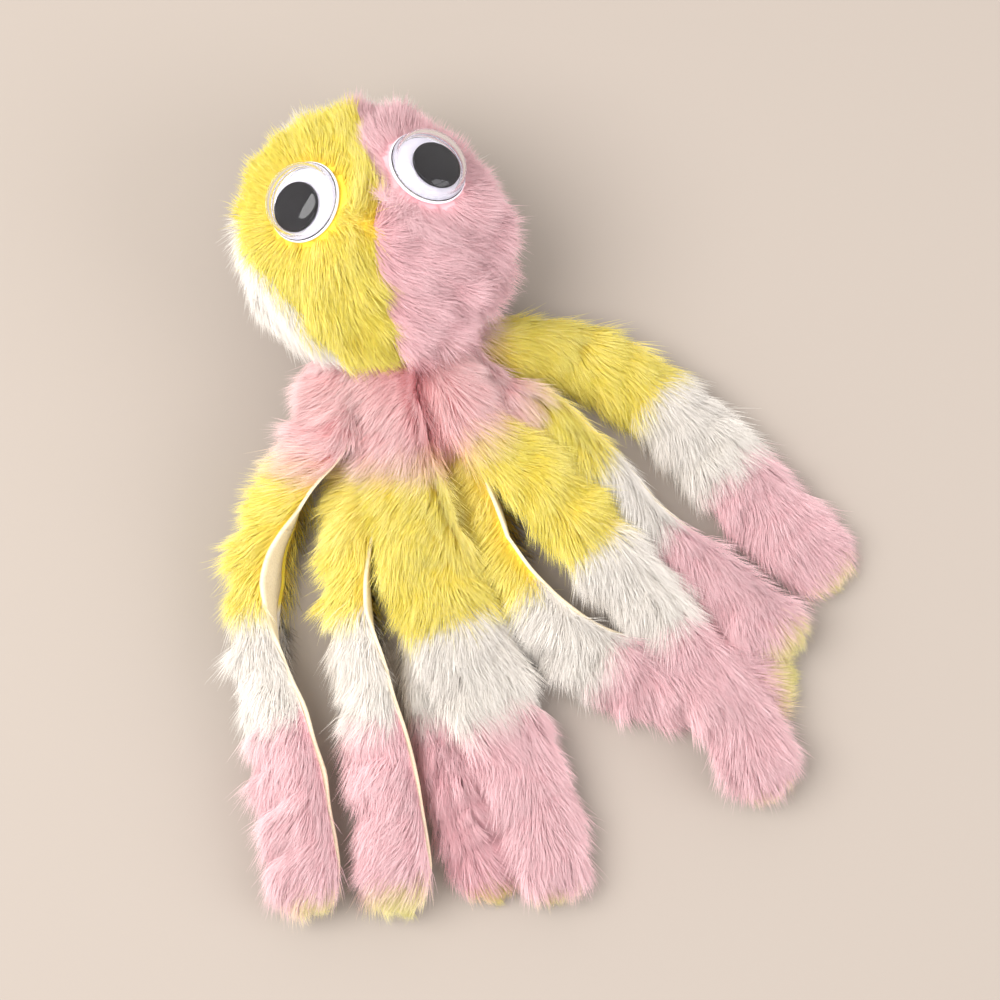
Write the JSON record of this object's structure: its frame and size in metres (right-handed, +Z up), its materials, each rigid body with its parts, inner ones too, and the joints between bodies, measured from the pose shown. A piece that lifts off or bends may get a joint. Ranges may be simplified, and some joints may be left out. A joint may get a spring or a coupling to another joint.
{
  "type": "plush octopus toy",
  "caption": "Small soft octopus lying on its back: a stuffed fur ball head with wobbly eyes, a tied neck and limp fur strip arms that lift and curl.",
  "frame": {"origin": "centre of the bounding box's underside, on the surface that the toy lies on", "axes": "+Z up, the way the face looks; +Y from the arms towards the crown of the head; +X to the toy's side where its eye over the pink stripe is"},
  "size_m": [0.1224, 0.1493, 0.0488],
  "materials": {
    "fur_white": "long soft pile, white stripe",
    "fur_yellow": "long soft pile, yellow stripe",
    "fur_pink": "long soft pile, pink stripe",
    "fur_striped": "long soft pile in yellow, white and pink bands on cream knitted backing",
    "backing_cloth": "cream knitted backing, matt",
    "stuffing": "polyester fibre filling",
    "thread": "twisted sewing thread",
    "glue": "set hot-melt glue",
    "white_plastic": "smooth white styrene",
    "clear_plastic": "clear vacuum-formed plastic",
    "black_plastic": "smooth black plastic"
  },
  "bodies": {
    "head": {"head_stuffing": "stuffing", "head_gore_white_left": "fur_white", "head_gore_yellow_front": "fur_yellow", "head_gore_pink_front": "fur_pink", "head_gore_white_right": "fur_white", "head_gore_yellow_back": "fur_yellow", "eye_left_glue": "glue", "eye_left_back": "white_plastic", "eye_left_dome": "clear_plastic", "eye_right_glue": "glue", "eye_right_back": "white_plastic", "eye_right_dome": "clear_plastic"},
    "collar": {"neck_tie": "thread", "neck_gather": "backing_cloth", "neck_collar": "fur_pink"},
    "pupil_left": {"eye_left_pupil": "black_plastic"},
    "pupil_right": {"eye_right_pupil": "black_plastic"},
    "arm_1_upper": {"arm_1_upper": "fur_striped"},
    "arm_1_lower": {"arm_1_lower": "fur_striped"},
    "arm_2_upper": {"arm_2_upper": "fur_striped"},
    "arm_2_lower": {"arm_2_lower": "fur_striped"},
    "arm_3_upper": {"arm_3_upper": "fur_striped"},
    "arm_3_lower": {"arm_3_lower": "fur_striped"},
    "arm_4_upper": {"arm_4_upper": "fur_striped"},
    "arm_4_lower": {"arm_4_lower": "fur_striped"},
    "arm_5_upper": {"arm_5_upper": "fur_striped"},
    "arm_5_lower": {"arm_5_lower": "fur_striped"},
    "arm_6_upper": {"arm_6_upper": "fur_striped"},
    "arm_6_lower": {"arm_6_lower": "fur_striped"},
    "arm_7_upper": {"arm_7_upper": "fur_striped"},
    "arm_7_lower": {"arm_7_lower": "fur_striped"},
    "arm_8_upper": {"arm_8_upper": "fur_striped"},
    "arm_8_lower": {"arm_8_lower": "fur_striped"}
  },
  "joints": [
    {"name": "neck_bend", "type": "hinge", "parent": "head", "child": "collar", "pos_m": [-0.0095, 0.02715, 0.01151], "axis": [-1, 0, 0], "range_deg": [0, 25]},
    {"name": "pupil_left_roll", "type": "hinge", "parent": "head", "child": "pupil_left", "pos_m": [-0.02108, 0.05488, 0.04302], "axis": [-0.4926, 0.1777, 0.8519], "continuous": true},
    {"name": "pupil_right_roll", "type": "hinge", "parent": "head", "child": "pupil_right", "pos_m": [0.00208, 0.05488, 0.04302], "axis": [0.4926, 0.1777, 0.8519], "continuous": true},
    {"name": "arm_1_lift", "type": "hinge", "parent": "collar", "child": "arm_1_upper", "pos_m": [-0.0215, 0.0218, 0.012], "axis": [-0.2126, 0.9771, 0], "range_deg": [0, 60]},
    {"name": "arm_1_tip_curl", "type": "hinge", "parent": "arm_1_upper", "child": "arm_1_lower", "pos_m": [-0.0521, -0.0133, 0.0021], "axis": [-0.9875, 0.1579, 0], "range_deg": [0, 80]},
    {"name": "arm_2_lift", "type": "hinge", "parent": "collar", "child": "arm_2_upper", "pos_m": [-0.0188, 0.016, 0.0044], "axis": [0.6096, -0.7927, 0], "range_deg": [-30, 0]},
    {"name": "arm_2_tip_curl", "type": "hinge", "parent": "arm_2_upper", "child": "arm_2_lower", "pos_m": [-0.0365, -0.0173, 0.0019], "axis": [0.9776, -0.2102, 0], "range_deg": [-80, 0]},
    {"name": "arm_3_lift", "type": "hinge", "parent": "collar", "child": "arm_3_upper", "pos_m": [-0.014, 0.0126, 0.0144], "axis": [-0.9216, 0.3881, 0], "range_deg": [0, 60]},
    {"name": "arm_3_tip_curl", "type": "hinge", "parent": "arm_3_upper", "child": "arm_3_lower", "pos_m": [-0.0157, -0.0243, 0.007], "axis": [-0.9921, -0.1255, 0], "range_deg": [0, 80]},
    {"name": "arm_4_sway", "type": "hinge", "parent": "collar", "child": "arm_4_upper", "pos_m": [-0.0118, 0.0119, 0.0044], "axis": [0, 0, 1], "range_deg": [-2, 2]},
    {"name": "arm_4_tip_curl", "type": "hinge", "parent": "arm_4_upper", "child": "arm_4_lower", "pos_m": [-0.0243, -0.0503, 0.0019], "axis": [0.9996, -0.0269, 0], "range_deg": [-80, 0]},
    {"name": "arm_5_sway", "type": "hinge", "parent": "collar", "child": "arm_5_upper", "pos_m": [-0.0037, 0.0132, 0.0044], "axis": [0, 0, 1], "range_deg": [-3, 3]},
    {"name": "arm_5_tip_sway", "type": "hinge", "parent": "arm_5_upper", "child": "arm_5_lower", "pos_m": [0.0057, -0.0298, 0.0019], "axis": [0, 0, 1], "range_deg": [-3, 3]},
    {"name": "arm_6_lift", "type": "hinge", "parent": "collar", "child": "arm_6_upper", "pos_m": [-0.0051, 0.0115, 0.0144], "axis": [0.5973, 0.802, 0], "range_deg": [-60, 0]},
    {"name": "arm_6_tip_curl", "type": "hinge", "parent": "arm_6_upper", "child": "arm_6_lower", "pos_m": [0.0199, -0.0333, 0.0068], "axis": [0.9068, 0.4215, 0], "range_deg": [-80, 0]},
    {"name": "arm_7_lift", "type": "hinge", "parent": "collar", "child": "arm_7_upper", "pos_m": [0.0011, 0.0165, 0.0094], "axis": [-0.2121, -0.9773, 0], "range_deg": [0, 30]},
    {"name": "arm_7_tip_curl", "type": "hinge", "parent": "arm_7_upper", "child": "arm_7_lower", "pos_m": [0.0281, -0.0118, 0.0019], "axis": [-0.8636, -0.5041, 0], "range_deg": [0, 60]},
    {"name": "arm_8_lift", "type": "hinge", "parent": "collar", "child": "arm_8_upper", "pos_m": [0.0025, 0.0237, 0.0044], "axis": [-0.3715, 0.9284, 0], "range_deg": [-30, 0]},
    {"name": "arm_8_tip_curl", "type": "hinge", "parent": "arm_8_upper", "child": "arm_8_lower", "pos_m": [0.0369, 0.0041, 0.0019], "axis": [0.868, 0.4965, 0], "range_deg": [-60, 0]}
  ]
}
